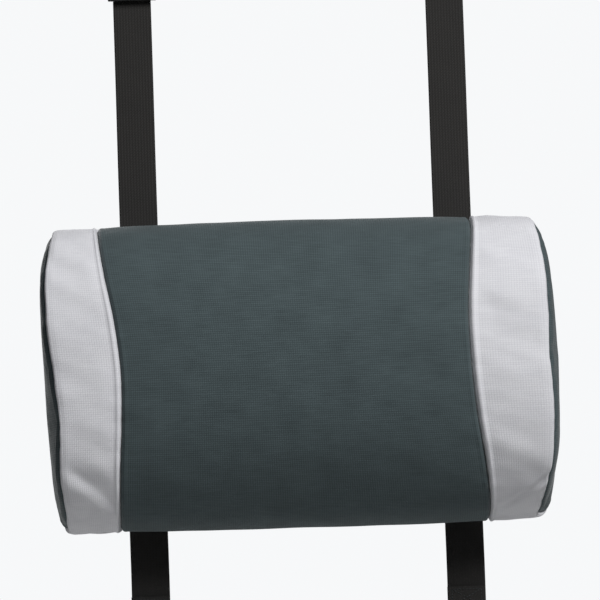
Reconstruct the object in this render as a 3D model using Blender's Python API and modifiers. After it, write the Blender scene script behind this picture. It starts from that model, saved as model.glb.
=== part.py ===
"""Lumbar support cushion that hangs on two webbing straps, one object for each sub-part.

Metres, +Z up. The cushion's front faces -Y. The plane Y = 0 is the face of the backrest that
the webbing keepers lie on, and X = 0 and Z = 0 are the middle of the cushion.
"""

import math

import bmesh
import bpy
from mathutils import Matrix, Vector

MM = 0.001

# Gaps between pieces that touch or run in each other.
TOUCH = 0.3 * MM
STRAP_PLAY = 0.4 * MM
SIDE_PLAY = 0.5 * MM

# The cushion's outer size, and the seams that part its front into three.
CUSHION_WIDTH = 336 * MM
CUSHION_HEIGHT = 206 * MM
CUSHION_DEPTH = 95 * MM
CENTRE_PANEL_WIDTH = 244 * MM
BACK_CORNER = 12 * MM
FRONT_FULLNESS = 2.6
FRONT_STEPS = 32
CORNER_STEPS = 6

# Cloth, liner and foam.
COVER_CLOTH = 1.2 * MM
LINER_CLOTH = 0.6 * MM
FOAM_EDGE = 4 * MM

# Webbing straps, and the keepers that hold them against the cushion's back.
STRAP_WIDTH = 26 * MM
STRAP_THICK = 1.4 * MM
STRAP_SPACING = 215 * MM
STRAP_ABOVE = 159 * MM
STRAP_BELOW = 65 * MM
LOOP_TAIL = 24 * MM
PLY_SLOPE = 5.5 * MM
TIGHT_BEND = 1.35 * MM
WIDE_BEND = 3 * MM
KEEPER_THICK = 1.2 * MM
KEEPER_HEIGHT = 20 * MM
KEEPER_FOOT = 6 * MM
KEEPER_SLOPE = 2.5 * MM
KEEPER_Z = 68 * MM

# Side-release buckles and tri-glide adjusters for the straps.
BAR_RADIUS = 1.8 * MM
BAR_SINK = 0.036 * MM
STRAP_SLOT = 7 * MM
RAIL_WIDTH = 3 * MM
HEAD_HEIGHT = 5 * MM
TONGUE_WIDTH = 7 * MM
TONGUE_LENGTH = 26 * MM
ARM_LENGTH = 24.5 * MM
ARM_WIDTH = 2.6 * MM
ARM_PIVOT = 1.2 * MM
CATCH_WIDTH = 2.3 * MM
CATCH_LENGTH = 5 * MM
CATCH_FROM_ROOT = 12.7 * MM
ARM_EASE = 1 * MM
BUCKLE_EDGE = 0.4 * MM
SOCKET_WALL = 1.6 * MM
SOCKET_END = 2 * MM
SOCKET_HEIGHT = 6.4 * MM
SOCKET_PLAY = 0.6 * MM
WINDOW_LENGTH = 13 * MM
WINDOW_HEIGHT = 4.8 * MM
WINDOW_FROM_MOUTH = 8 * MM
GLIDE_BAR = 3.2 * MM
GLIDE_SLOT = 7.5 * MM
GLIDE_THICK = 2.6 * MM
GLIDE_TO_BUCKLE = 26.5 * MM

# Coil zip across the back, with its slider parked at the closed end.
ZIP_LENGTH = 164 * MM
TAPE_WIDTH = 10 * MM
TAPE_THICK = 0.6 * MM
TAPE_OVERRUN = 10 * MM
COIL_WIDTH = 2 * MM
COIL_HEIGHT = 1.8 * MM
COIL_PROUD = 0.9 * MM
POST_WIDTH = 0.8 * MM
STOP_LENGTH = 2 * MM
ZIP_PARK = 1.2 * MM
SLIDER_LENGTH = 11 * MM
SLIDER_PLATE = 0.9 * MM
SLIDER_LIP = 0.7 * MM
POST_LENGTH = 3 * MM
POST_FROM_NOSE = 1.1 * MM
BRIDGE_LENGTH = 6.4 * MM
BRIDGE_WIDTH = 2 * MM
BRIDGE_LEG = 1 * MM
BRIDGE_BAR = 0.8 * MM
BRIDGE_GAP = 1.4 * MM
PULL_THICK = 0.7 * MM
PULL_LENGTH = 18 * MM
PULL_WIDTH = 5.2 * MM
PULL_TIP_WIDTH = 3.6 * MM
PULL_WINDOW = 3.2 * MM
PULL_WINDOW_LENGTH = 4.2 * MM

# Levels behind the cushion, worked out from the pieces that lie there.
STRAP_Y = -(KEEPER_THICK + TOUCH + STRAP_THICK / 2)
COVER_Y = -(KEEPER_THICK + TOUCH + STRAP_THICK + STRAP_PLAY)
PLY = STRAP_THICK + TOUCH
SECOND_PLY_Y = STRAP_Y - PLY
LOOP_RADIUS = BAR_RADIUS + TOUCH + STRAP_THICK / 2
BAR_Y = STRAP_Y - LOOP_RADIUS
GLIDE_Y = SECOND_PLY_Y - STRAP_THICK / 2 - TOUCH - GLIDE_THICK / 2
TAPE_Y = COVER_Y - COVER_CLOTH - TOUCH
COIL_Y = TAPE_Y + COIL_PROUD
SLIDER_TOP = COIL_Y + TOUCH + SLIDER_PLATE
SLIDER_BOTTOM = COIL_Y - COIL_HEIGHT - TOUCH - SLIDER_PLATE
PULL_Y = SLIDER_TOP + BRIDGE_GAP / 2
LINER_BACK = SLIDER_BOTTOM - TOUCH

# Across the zip: the two rows run either side of the slider's post, inside its lips.
ROW_LOW = POST_WIDTH / 2 + TOUCH
ROW_HIGH = ROW_LOW + COIL_WIDTH
SLIDER_HALF = ROW_HIGH + TOUCH + SLIDER_LIP
ZIP_SLOT = 2 * (SLIDER_HALF + TOUCH)

# The cushion's section, from its flat back to the crest where the front starts.
HALF_HEIGHT = CUSHION_HEIGHT / 2
CREST_Y = COVER_Y - BACK_CORNER
BACK_SEAM_Z = HALF_HEIGHT - BACK_CORNER

# Heights of the fittings on the straps.
GLIDE_HEIGHT = 3 * GLIDE_BAR + 2 * GLIDE_SLOT
GLIDE_Z = HALF_HEIGHT + STRAP_ABOVE + GLIDE_HEIGHT / 2
MALE_Z = GLIDE_Z + GLIDE_BAR / 2 + GLIDE_TO_BUCKLE
FEMALE_Z = -(HALF_HEIGHT + STRAP_BELOW + LOOP_RADIUS)

# Across the straps.
STRAP_HALF = STRAP_WIDTH / 2
SLOT_HALF = STRAP_HALF + SIDE_PLAY
FRAME_HALF = SLOT_HALF + RAIL_WIDTH
ARM_U = FRAME_HALF - CATCH_WIDTH - ARM_WIDTH / 2
ROOT_Z = BAR_RADIUS + STRAP_SLOT + HEAD_HEIGHT
SIDES = {"left": -1, "right": 1}

# World axes that an outline's own X, Y and thickness follow.
PLANES = {
    "YZ": Matrix(((0, 0, 1), (1, 0, 0), (0, 1, 0))),
    "XZ": Matrix(((1, 0, 0), (0, 0, -1), (0, 1, 0))),
    "XY": Matrix(((1, 0, 0), (0, 1, 0), (0, 0, 1))),
}


def clear_scene():
    """Removes whatever the open file holds."""
    for obj in list(bpy.data.objects):
        bpy.data.objects.remove(obj, do_unlink=True)


def new_collection(name):
    collection = bpy.data.collections.new(name)
    bpy.context.scene.collection.children.link(collection)
    return collection


def material(name, colour, roughness, metallic=0.0):
    """A Principled material with one colour, given in linear light."""
    made = bpy.data.materials.new(name)
    made.use_nodes = True
    shader = made.node_tree.nodes["Principled BSDF"]
    shader.inputs["Base Color"].default_value = (*colour, 1.0)
    shader.inputs["Roughness"].default_value = roughness
    shader.inputs["Metallic"].default_value = metallic
    made.diffuse_color = (*colour, 1.0)
    return made


# Shapes. Each maker returns a mesh or a template whose coordinates are about its own origin.


def template(name, data):
    """An object in the workshop collection, where shapes are cut and joined."""
    made = bpy.data.objects.new(name, data)
    WORKSHOP.objects.link(made)
    return made


def evaluated_mesh(obj):
    """The object's mesh with its modifiers done, its doubles merged and the object removed."""
    bpy.context.view_layer.update()
    seen = obj.evaluated_get(bpy.context.evaluated_depsgraph_get())
    mesh = bpy.data.meshes.new_from_object(seen)
    mesh.transform(obj.matrix_world)
    work = bmesh.new()
    work.from_mesh(mesh)
    bmesh.ops.remove_doubles(work, verts=work.verts, dist=1e-6)
    work.to_mesh(mesh)
    work.free()
    bpy.data.objects.remove(obj, do_unlink=True)
    return mesh


def plate(name, loops, thickness, plane):
    """A flat outline, with any holes as further loops, given its thickness both ways.

    The curve is drawn in millimetres, where Blender's fill tells close edges apart.
    """
    curve = bpy.data.curves.new(name, "CURVE")
    curve.dimensions = "2D"
    curve.fill_mode = "BOTH"
    curve.extrude = thickness / MM / 2
    for loop in loops:
        spline = curve.splines.new("POLY")
        spline.points.add(len(loop) - 1)
        for point, spot in zip(spline.points, loop):
            point.co = (spot[0] / MM, spot[1] / MM, 0, 1)
        spline.use_cyclic_u = True
    made = template(name, curve)
    made.matrix_world = PLANES[plane].to_4x4() @ Matrix.Scale(MM, 4)
    return template(name, evaluated_mesh(made))


def box(name, low, high):
    """A box between two corners."""
    low = Vector(low)
    high = Vector(high)
    work = bmesh.new()
    bmesh.ops.create_cube(work, size=1)
    bmesh.ops.transform(
        work,
        matrix=Matrix.Translation((low + high) / 2) @ Matrix.Diagonal((high - low).to_4d()),
        verts=work.verts,
    )
    mesh = bpy.data.meshes.new(name)
    work.to_mesh(mesh)
    work.free()
    return template(name, mesh)


def rod(name, radius, length):
    """A round bar along X, with its middle at the origin."""
    work = bmesh.new()
    bmesh.ops.create_cone(
        work, cap_ends=True, segments=20, radius1=radius, radius2=radius, depth=length
    )
    bmesh.ops.rotate(work, matrix=Matrix.Rotation(math.pi / 2, 3, "Y"), verts=work.verts)
    mesh = bpy.data.meshes.new(name)
    work.to_mesh(mesh)
    work.free()
    return template(name, mesh)


def boolean(obj, others, operation):
    """Cuts the others from the object, or joins them to it, and uses the others up."""
    for other in others:
        modifier = obj.modifiers.new(operation.lower(), "BOOLEAN")
        modifier.operation = operation
        modifier.object = other
    mesh = evaluated_mesh(obj)
    for other in others:
        bpy.data.objects.remove(other, do_unlink=True)
    return template(mesh.name, mesh)


def eased(obj, width, segments=2):
    """Rounds the sharp edges of a template, and returns its mesh."""
    bevel = obj.modifiers.new("edges", "BEVEL")
    bevel.width = width
    bevel.segments = segments
    bevel.limit_method = "ANGLE"
    bevel.angle_limit = math.radians(40)
    return evaluated_mesh(obj)


def rounded(points, steps=5):
    """A path through (a, b, radius) points, with an arc of that radius at each inner one."""
    path = [Vector(points[0][:2])]
    for before, corner, after in zip(points, points[1:], points[2:]):
        middle = Vector(corner[:2])
        back = (Vector(before[:2]) - middle).normalized()
        ahead = (Vector(after[:2]) - middle).normalized()
        half = back.angle(ahead) / 2
        reach = corner[2] / math.tan(half)
        centre = middle + (back + ahead).normalized() * corner[2] / math.sin(half)
        start = (middle + back * reach - centre).normalized()
        end = (middle + ahead * reach - centre).normalized()
        for step in range(steps + 1):
            spot = centre + start.slerp(end, step / steps) * corner[2]
            if (spot - path[-1]).length > TOUCH / 10:
                path.append(spot)
    path.append(Vector(points[-1][:2]))
    return path


def strip(name, path, width, thickness):
    """A strip that follows a (y, z) path: its middle surface is swept along X, then made solid."""
    work = bmesh.new()
    points = [work.verts.new((-width / 2, spot.x, spot.y)) for spot in path]
    edges = [work.edges.new(pair) for pair in zip(points, points[1:])]
    swept = bmesh.ops.extrude_edge_only(work, edges=edges)
    moved = [item for item in swept["geom"] if isinstance(item, bmesh.types.BMVert)]
    bmesh.ops.translate(work, vec=(width, 0, 0), verts=moved)
    mesh = bpy.data.meshes.new(name)
    work.to_mesh(mesh)
    work.free()
    made = template(name, mesh)
    solid = made.modifiers.new("thickness", "SOLIDIFY")
    solid.thickness = thickness
    solid.offset = 0
    return evaluated_mesh(made)


def back_corner(back, half):
    """The round corner of the section, from its flat back up to its crest."""
    corner = back - CREST_Y
    points = []
    for step in range(CORNER_STEPS + 1):
        angle = math.pi / 2 * step / CORNER_STEPS
        y = CREST_Y + corner * math.cos(angle)
        z = half - corner + corner * math.sin(angle)
        points.append(Vector((y, z)))
    return points


def d_section(inset, back):
    """The cushion's section as (y, z), from the top of its flat back round the front to the foot.

    The back is flat at Y = back and has round corners. The front is half a superellipse, with
    both of its reaches shorter than the cushion's own by inset.
    """
    half = HALF_HEIGHT - inset
    reach = CUSHION_DEPTH - BACK_CORNER - inset
    power = 2 / FRONT_FULLNESS
    front = []
    for step in range(1, FRONT_STEPS):
        angle = math.pi / 2 - math.pi * step / FRONT_STEPS
        y = CREST_Y - math.cos(angle) ** power * reach
        z = math.copysign(abs(math.sin(angle)) ** power * half, angle)
        front.append(Vector((y, z)))
    upper = back_corner(back, half)
    lower = [Vector((point.x, -point.y)) for point in reversed(upper)]
    return upper + front + lower


def sleeve_outline():
    """The cover's wall in section, open along the flat back."""
    outside = d_section(0, COVER_Y)
    inside = d_section(COVER_CLOTH, COVER_Y - COVER_CLOTH)
    return outside + inside[::-1]


# Placing. Every finished piece is an object in the part's collection.


def place(name, mesh, finish, at=(0, 0, 0), parent=None):
    """A named piece with its origin at a place in the world, or on its parent if it has one."""
    mesh = mesh.copy() if mesh.users else mesh
    mesh.name = name
    mesh.materials.clear()
    mesh.materials.append(finish)
    made = bpy.data.objects.new(name, mesh)
    PARTS.objects.link(made)
    made.location = Vector(at)
    if parent is not None:
        made.location = Vector(at) - world_place(parent)
        made.parent = parent
    return made


def world_place(obj):
    """Where an object's origin lies in the world, from the locations of its parents."""
    spot = obj.location.copy()
    while obj.parent is not None:
        obj = obj.parent
        spot += obj.location
    return spot


def carrier(name):
    """An empty at the middle of the cushion that a body's pieces hang on."""
    made = bpy.data.objects.new(name, None)
    made.empty_display_size = 0.03
    PARTS.objects.link(made)
    return made


def make_cover(cushion):
    """The sewn cover: three sleeves round the front, an end at each side, and a back in two."""
    inner_half = CUSHION_WIDTH / 2 - COVER_CLOTH - TOUCH
    seam = CENTRE_PANEL_WIDTH / 2
    centre = plate("centre", [sleeve_outline()], CENTRE_PANEL_WIDTH - TOUCH, "YZ")
    place("cover_centre_panel", centre.data, SLATE, parent=cushion)
    band_low = seam + TOUCH / 2
    band = plate("band", [sleeve_outline()], inner_half - band_low, "YZ")
    end = plate("end", [d_section(0, COVER_Y)], COVER_CLOTH, "YZ")
    for side, sign in SIDES.items():
        middle = sign * (band_low + inner_half) / 2
        place(f"cover_band_{side}", band.data, LIGHT_GREY, (middle, 0, 0), cushion)
        middle = sign * (CUSHION_WIDTH - COVER_CLOTH) / 2
        place(f"cover_end_{side}", end.data, SLATE, (middle, 0, 0), cushion)
    slot_half = ZIP_LENGTH / 2 + TOUCH + STOP_LENGTH + TOUCH
    for level, sign in {"upper": 1, "lower": -1}.items():
        edge = TOUCH / 2 * sign
        lip = ZIP_SLOT / 2 * sign
        seam_z = (BACK_SEAM_Z - TOUCH) * sign
        outline = [(-inner_half, edge), (-slot_half, edge), (-slot_half, lip), (slot_half, lip)]
        outline += [(slot_half, edge), (inner_half, edge), (inner_half, seam_z), (-inner_half, seam_z)]
        back = plate("back", [outline], COVER_CLOTH, "XZ")
        middle = COVER_Y - COVER_CLOTH / 2
        place(f"cover_back_{level}", back.data, SLATE, (0, middle, 0), cushion)


def make_filling(cushion):
    """The foam, and the liner bag round it, which is open at its right-hand end."""
    liner_inset = COVER_CLOTH + TOUCH
    pocket_inset = liner_inset + LINER_CLOTH
    liner_half = CUSHION_WIDTH / 2 - liner_inset
    pocket_half = liner_half - LINER_CLOTH
    bag = plate("liner", [d_section(liner_inset, LINER_BACK)], 2 * liner_half, "YZ")
    pocket = plate("pocket", [d_section(pocket_inset, LINER_BACK - LINER_CLOTH)], 4 * pocket_half, "YZ")
    pocket.location.x = pocket_half
    bag = boolean(bag, [pocket], "DIFFERENCE")
    place("inner_liner", bag.data, LINER_WHITE, parent=cushion)
    section = d_section(pocket_inset + TOUCH, LINER_BACK - LINER_CLOTH - TOUCH)
    foam = plate("foam", [section], 2 * (pocket_half - TOUCH), "YZ")
    place("foam_core", eased(foam, FOAM_EDGE), FOAM, parent=cushion)


def make_zip(cushion):
    """The zip: two tapes, two coil rows, an end stop at each side, and the slider with its pull."""
    chain_half = ZIP_LENGTH / 2
    for level, sign in {"upper": 1, "lower": -1}.items():
        span = sorted((sign * (ROW_HIGH + TOUCH), sign * (ROW_HIGH + TOUCH + TAPE_WIDTH)))
        tape_half = chain_half + TAPE_OVERRUN
        tape = box("tape", (-tape_half, TAPE_Y - TAPE_THICK, span[0]), (tape_half, TAPE_Y, span[1]))
        place(f"zip_tape_{level}", tape.data, TAPE_BLACK, parent=cushion)
        span = sorted((sign * ROW_LOW, sign * ROW_HIGH))
        coil = box("coil", (-chain_half, COIL_Y - COIL_HEIGHT, span[0]), (chain_half, COIL_Y, span[1]))
        place(f"zip_coil_{level}", eased(coil, COIL_HEIGHT / 4), COIL_BLACK, parent=cushion)
    middle = chain_half + TOUCH + STOP_LENGTH / 2
    low = (-STOP_LENGTH / 2, COIL_Y - COIL_HEIGHT, -ROW_HIGH)
    stop = box("stop", low, (STOP_LENGTH / 2, COIL_Y, ROW_HIGH))
    stop = eased(stop, COIL_HEIGHT / 6)
    for side, sign in SIDES.items():
        place(f"zip_stop_{side}", stop, ZINC, (sign * middle, 0, 0), cushion)
    parked = chain_half - TOUCH - SLIDER_LENGTH / 2 - ZIP_PARK
    slider = place("zip_slider", slider_mesh(), ZINC, (parked, 0, 0), cushion)
    place("zip_pull", pull_mesh(), ZINC, (parked, PULL_Y, 0), slider)


def slider_mesh():
    """Two plates with lips that hug the coil, a post between them, and a bridge for the pull."""
    half = SLIDER_LENGTH / 2
    wide = SLIDER_HALF
    outer = box("slider", (-half, COIL_Y + TOUCH, -wide), (half, SLIDER_TOP, wide))
    inner_top = SLIDER_BOTTOM + SLIDER_PLATE
    added = [box("inner", (-half, SLIDER_BOTTOM, -wide), (half, inner_top, wide))]
    nose = half - POST_FROM_NOSE
    post_low = (nose - POST_LENGTH, inner_top - TOUCH, -POST_WIDTH / 2)
    added.append(box("post", post_low, (nose, COIL_Y + 2 * TOUCH, POST_WIDTH / 2)))
    for sign in (-1, 1):
        span = sorted((sign * (wide - SLIDER_LIP), sign * wide))
        lip = box("lip", (-half, TAPE_Y + TOUCH, span[0]), (half, COIL_Y + 2 * TOUCH, span[1]))
        added.append(lip)
        low = (-half, inner_top - TOUCH, span[0])
        added.append(box("lip", low, (half, TAPE_Y - TAPE_THICK - TOUCH, span[1])))
        leg = sorted((sign * (BRIDGE_LENGTH / 2 - BRIDGE_LEG), sign * BRIDGE_LENGTH / 2))
        low = (leg[0], SLIDER_TOP - TOUCH, -BRIDGE_WIDTH / 2)
        added.append(box("leg", low, (leg[1], SLIDER_TOP + BRIDGE_GAP + TOUCH, BRIDGE_WIDTH / 2)))
    low = (-BRIDGE_LENGTH / 2, SLIDER_TOP + BRIDGE_GAP, -BRIDGE_WIDTH / 2)
    high = (BRIDGE_LENGTH / 2, SLIDER_TOP + BRIDGE_GAP + BRIDGE_BAR, BRIDGE_WIDTH / 2)
    added.append(box("bridge", low, high))
    return boolean(outer, added, "UNION").data


def pull_mesh():
    """A flat tab with a window whose end bar turns under the slider's bridge."""
    bar = PULL_THICK / 2
    half = PULL_WIDTH / 2
    tip = PULL_TIP_WIDTH / 2
    outline = [(bar, -half), (bar, half), (-PULL_LENGTH + tip, half), (-PULL_LENGTH, tip)]
    outline += [(-PULL_LENGTH, -tip), (-PULL_LENGTH + tip, -half)]
    eye = PULL_WINDOW / 2
    window = [(-bar, -eye), (-bar, eye), (-PULL_WINDOW_LENGTH, eye), (-PULL_WINDOW_LENGTH, -eye)]
    return plate("pull", [outline, window], PULL_THICK, "XZ").data


def make_keepers(cushion):
    """Four flat loops of webbing on the cushion's back, two for each strap."""
    web = SLOT_HALF + KEEPER_THICK
    foot = web + KEEPER_SLOPE
    end = foot + KEEPER_FOOT
    drop = COVER_Y + TOUCH + KEEPER_THICK
    upper = [(-end, drop), (-foot, drop), (-web, 0), (web, 0), (foot, drop), (end, drop)]
    lower = [(x, y - KEEPER_THICK) for x, y in upper]
    shoulder = web - KEEPER_THICK / 2
    lower[2] = (-shoulder, -KEEPER_THICK)
    lower[3] = (shoulder, -KEEPER_THICK)
    keeper = plate("keeper", [upper + lower[::-1]], KEEPER_HEIGHT, "XY").data
    for level, up in {"upper": 1, "lower": -1}.items():
        for side, sign in SIDES.items():
            spot = (sign * STRAP_SPACING / 2, 0, up * KEEPER_Z)
            place(f"keeper_{level}_{side}", keeper, WEBBING, spot, cushion)


def strap_path():
    """The strap's middle line as (y, z), from its sewn lower end to its sewn upper end.

    It rises behind the cushion, goes over the tri-glide's middle bar, round the plug's bar and
    back down, and ends sewn round the tri-glide's middle bar.
    """
    second = SECOND_PLY_Y
    front = BAR_Y - LOOP_RADIUS
    wrap = GLIDE_BAR / 2 + TOUCH + STRAP_THICK / 2
    wrap_y = GLIDE_Y - GLIDE_THICK / 2 - TOUCH - STRAP_THICK / 2
    over_y = wrap_y - PLY
    bar_edge = GLIDE_BAR / 2 + GLIDE_SLOT
    spread = LOOP_RADIUS + PLY_SLOPE
    pinch = LOOP_RADIUS + SIDE_PLAY
    low = [
        (second, FEMALE_Z + LOOP_TAIL, 0),
        (second, FEMALE_Z + spread, WIDE_BEND),
        (front, FEMALE_Z + pinch, WIDE_BEND),
        (front, FEMALE_Z - LOOP_RADIUS, LOOP_RADIUS),
        (STRAP_Y, FEMALE_Z - LOOP_RADIUS, LOOP_RADIUS),
    ]
    over = [
        (STRAP_Y, GLIDE_Z - bar_edge, TIGHT_BEND),
        (over_y, GLIDE_Z - wrap - SIDE_PLAY, TIGHT_BEND),
        (over_y, GLIDE_Z + wrap + STRAP_THICK, TIGHT_BEND),
        (second, GLIDE_Z + bar_edge - PLY, TIGHT_BEND),
    ]
    high = [
        (second, MALE_Z - spread, WIDE_BEND),
        (front, MALE_Z - pinch, WIDE_BEND),
        (front, MALE_Z + LOOP_RADIUS, LOOP_RADIUS),
        (STRAP_Y, MALE_Z + LOOP_RADIUS, LOOP_RADIUS),
    ]
    sewn = [
        (STRAP_Y, GLIDE_Z + wrap + PLY, WIDE_BEND),
        (second, GLIDE_Z + wrap - STRAP_THICK, WIDE_BEND),
        (second, GLIDE_Z - wrap, TIGHT_BEND),
        (wrap_y, GLIDE_Z - wrap, TIGHT_BEND),
        (wrap_y, GLIDE_Z + wrap, TIGHT_BEND),
        (GLIDE_Y + STRAP_THICK / 2, GLIDE_Z + wrap, 0),
    ]
    return rounded(low + over + high + sewn)


def tri_glide_mesh():
    """A flat frame with two slots, and a bar between them that the strap is sewn round."""
    half = GLIDE_HEIGHT / 2
    outline = [(-FRAME_HALF, -half), (FRAME_HALF, -half), (FRAME_HALF, half), (-FRAME_HALF, half)]
    loops = [outline]
    low = GLIDE_BAR / 2
    high = low + GLIDE_SLOT
    for sign in (-1, 1):
        slot = [(-SLOT_HALF, sign * low), (SLOT_HALF, sign * low)]
        slot += [(SLOT_HALF, sign * high), (-SLOT_HALF, sign * high)]
        loops.append(slot)
    return eased(plate("glide", loops, GLIDE_THICK, "XZ"), BUCKLE_EDGE)


def male_mesh():
    """The plug of a buckle: a round bar for the strap, two rails, a head and a middle tongue."""
    thick = 2 * BAR_RADIUS
    head = BAR_RADIUS + STRAP_SLOT
    top = ROOT_Z + TONGUE_LENGTH
    tongue = TONGUE_WIDTH / 2
    right = [(FRAME_HALF, -BAR_RADIUS), (FRAME_HALF, ROOT_Z), (tongue, ROOT_Z)]
    right += [(tongue, top - tongue / 2), (tongue / 2, top)]
    left = [(-x, z) for x, z in reversed(right)]
    inside = [(-SLOT_HALF, -BAR_RADIUS), (-SLOT_HALF, head), (SLOT_HALF, head), (SLOT_HALF, -BAR_RADIUS)]
    frame = plate("male", [right + left + inside], thick, "XZ")
    bar = rod("bar", BAR_RADIUS - BAR_SINK, 2 * SLOT_HALF + RAIL_WIDTH)
    return boolean(template("male", eased(frame, BUCKLE_EDGE)), [bar], "UNION").data


def arm_mesh(sign):
    """A spring arm with a catch on its outer side, about its pivot near the head."""
    inner = -ARM_WIDTH / 2
    outer = ARM_WIDTH / 2
    root = TOUCH - ARM_PIVOT
    tip = root + ARM_LENGTH
    shoulder = root + CATCH_FROM_ROOT
    catch = outer + CATCH_WIDTH
    outline = [(inner, root), (outer, root), (outer + CATCH_WIDTH / 3, shoulder - ARM_EASE)]
    outline += [(catch, shoulder), (catch, shoulder + CATCH_LENGTH), (outer, tip - ARM_EASE)]
    outline += [(outer - ARM_EASE, tip), (inner - ARM_EASE, tip), (inner - ARM_EASE / 2, shoulder)]
    outline = [(x * sign, z) for x, z in outline]
    return eased(plate("arm", [outline], 2 * BAR_RADIUS - 2 * BUCKLE_EDGE, "XZ"), BUCKLE_EDGE)


def female_mesh():
    """The socket of a buckle: a round bar for the strap, two rails, and a shell open downwards."""
    top = -(BAR_RADIUS + STRAP_SLOT)
    cavity = ARM_LENGTH + TOUCH
    mouth = top - SOCKET_END - cavity
    half_y = SOCKET_HEIGHT / 2 + SOCKET_WALL
    half_x = FRAME_HALF + SOCKET_PLAY
    shell = box("female", (-half_x, -half_y, mouth), (half_x, half_y, top))
    added = []
    for sign in (-1, 1):
        rail = sorted((sign * SLOT_HALF, sign * half_x))
        added.append(box("rail", (rail[0], -BAR_RADIUS, top - TOUCH), (rail[1], BAR_RADIUS, BAR_RADIUS)))
    added.append(rod("bar", BAR_RADIUS - BAR_SINK, 2 * SLOT_HALF + RAIL_WIDTH))
    inner_x = half_x - SOCKET_WALL
    low = (-inner_x, -SOCKET_HEIGHT / 2, mouth - SOCKET_WALL)
    holes = [box("cavity", low, (inner_x, SOCKET_HEIGHT / 2, mouth + cavity))]
    for sign in (-1, 1):
        span = sorted((sign * (inner_x - SOCKET_WALL), sign * (half_x + SOCKET_WALL)))
        low = (span[0], -WINDOW_HEIGHT / 2, mouth + WINDOW_FROM_MOUTH)
        high = (span[1], WINDOW_HEIGHT / 2, mouth + WINDOW_FROM_MOUTH + WINDOW_LENGTH)
        holes.append(box("window", low, high))
    shell = template("female", eased(shell, 3 * BUCKLE_EDGE))
    return boolean(boolean(shell, added, "UNION"), holes, "DIFFERENCE").data


def make_straps():
    """Both straps with their adjusters, and the buckle halves that swing on their end loops."""
    strap = strip("strap", strap_path(), STRAP_WIDTH, STRAP_THICK)
    glide = tri_glide_mesh()
    male = male_mesh()
    female = female_mesh()
    arms = {side: arm_mesh(sign) for side, sign in SIDES.items()}
    for side, sign in SIDES.items():
        x = sign * STRAP_SPACING / 2
        place(f"strap_{side}", strap, ELASTIC, (x, 0, 0))
        place(f"tri_glide_{side}", glide, ACETAL, (x, GLIDE_Y, GLIDE_Z))
        plug = place(f"buckle_male_{side}", male, ACETAL, (x, BAR_Y, MALE_Z))
        for hand, turn in SIDES.items():
            pivot = (x + turn * ARM_U, BAR_Y, MALE_Z + ROOT_Z + ARM_PIVOT)
            place(f"buckle_arm_{side}_{hand}", arms[hand], ACETAL, pivot, plug)
        place(f"buckle_female_{side}", female, ACETAL, (x, BAR_Y, FEMALE_Z))


clear_scene()
PARTS = new_collection("lumbar_support_cushion")
WORKSHOP = new_collection("workshop")

SLATE = material("woven_slate_polyester", (0.078, 0.102, 0.112), 0.85)
LIGHT_GREY = material("woven_light_grey_polyester", (0.62, 0.61, 0.65), 0.85)
LINER_WHITE = material("nonwoven_polypropylene", (0.75, 0.75, 0.72), 0.9)
FOAM = material("polyurethane_foam", (0.78, 0.72, 0.5), 0.95)
WEBBING = material("black_polyester_webbing", (0.018, 0.018, 0.017), 0.8)
ELASTIC = material("black_elastic_webbing", (0.018, 0.018, 0.017), 0.8)
ACETAL = material("black_moulded_acetal", (0.012, 0.012, 0.013), 0.35)
TAPE_BLACK = material("black_zip_tape", (0.014, 0.015, 0.016), 0.85)
COIL_BLACK = material("black_nylon_coil", (0.012, 0.012, 0.012), 0.45)
ZINC = material("black_lacquered_zinc", (0.02, 0.02, 0.02), 0.35, 0.6)

CUSHION = carrier("cushion_carrier")
make_cover(CUSHION)
make_filling(CUSHION)
make_zip(CUSHION)
make_keepers(CUSHION)
make_straps()

for leftover in list(WORKSHOP.objects):
    bpy.data.objects.remove(leftover, do_unlink=True)
bpy.data.collections.remove(WORKSHOP)
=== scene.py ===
"""The looks of a lumbar support cushion on two webbing straps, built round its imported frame.

Metres, +Z up. The cushion's front faces -Y and its back lies against the plane Y = 0.
Surfaces are grids of points: rows go round the cushion's section, columns go across its width.
"""

import math

import bmesh
import bpy
import numpy as np
from mathutils import Matrix, Vector


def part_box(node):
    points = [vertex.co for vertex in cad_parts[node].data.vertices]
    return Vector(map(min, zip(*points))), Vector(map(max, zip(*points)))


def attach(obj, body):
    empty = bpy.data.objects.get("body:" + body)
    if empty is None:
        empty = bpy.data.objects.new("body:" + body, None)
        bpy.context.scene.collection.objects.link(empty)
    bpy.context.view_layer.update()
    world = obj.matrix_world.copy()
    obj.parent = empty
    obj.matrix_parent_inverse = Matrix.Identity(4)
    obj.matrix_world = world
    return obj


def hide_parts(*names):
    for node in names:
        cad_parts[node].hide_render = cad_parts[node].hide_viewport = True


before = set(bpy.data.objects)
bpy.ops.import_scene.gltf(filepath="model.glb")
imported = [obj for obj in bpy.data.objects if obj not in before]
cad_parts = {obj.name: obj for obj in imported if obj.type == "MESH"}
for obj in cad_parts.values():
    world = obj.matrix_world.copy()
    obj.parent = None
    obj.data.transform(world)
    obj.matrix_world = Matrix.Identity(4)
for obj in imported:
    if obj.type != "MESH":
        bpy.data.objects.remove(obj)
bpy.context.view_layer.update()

MM = 0.001
SIDES = {"left": -1, "right": 1}
LEVELS = {"upper": 1, "lower": -1}


def corner(node, side, axis):
    """One coordinate of a CAD node's box: side 0 is its low corner and 1 its high one."""
    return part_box(node)[side]["xyz".index(axis)]


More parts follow.
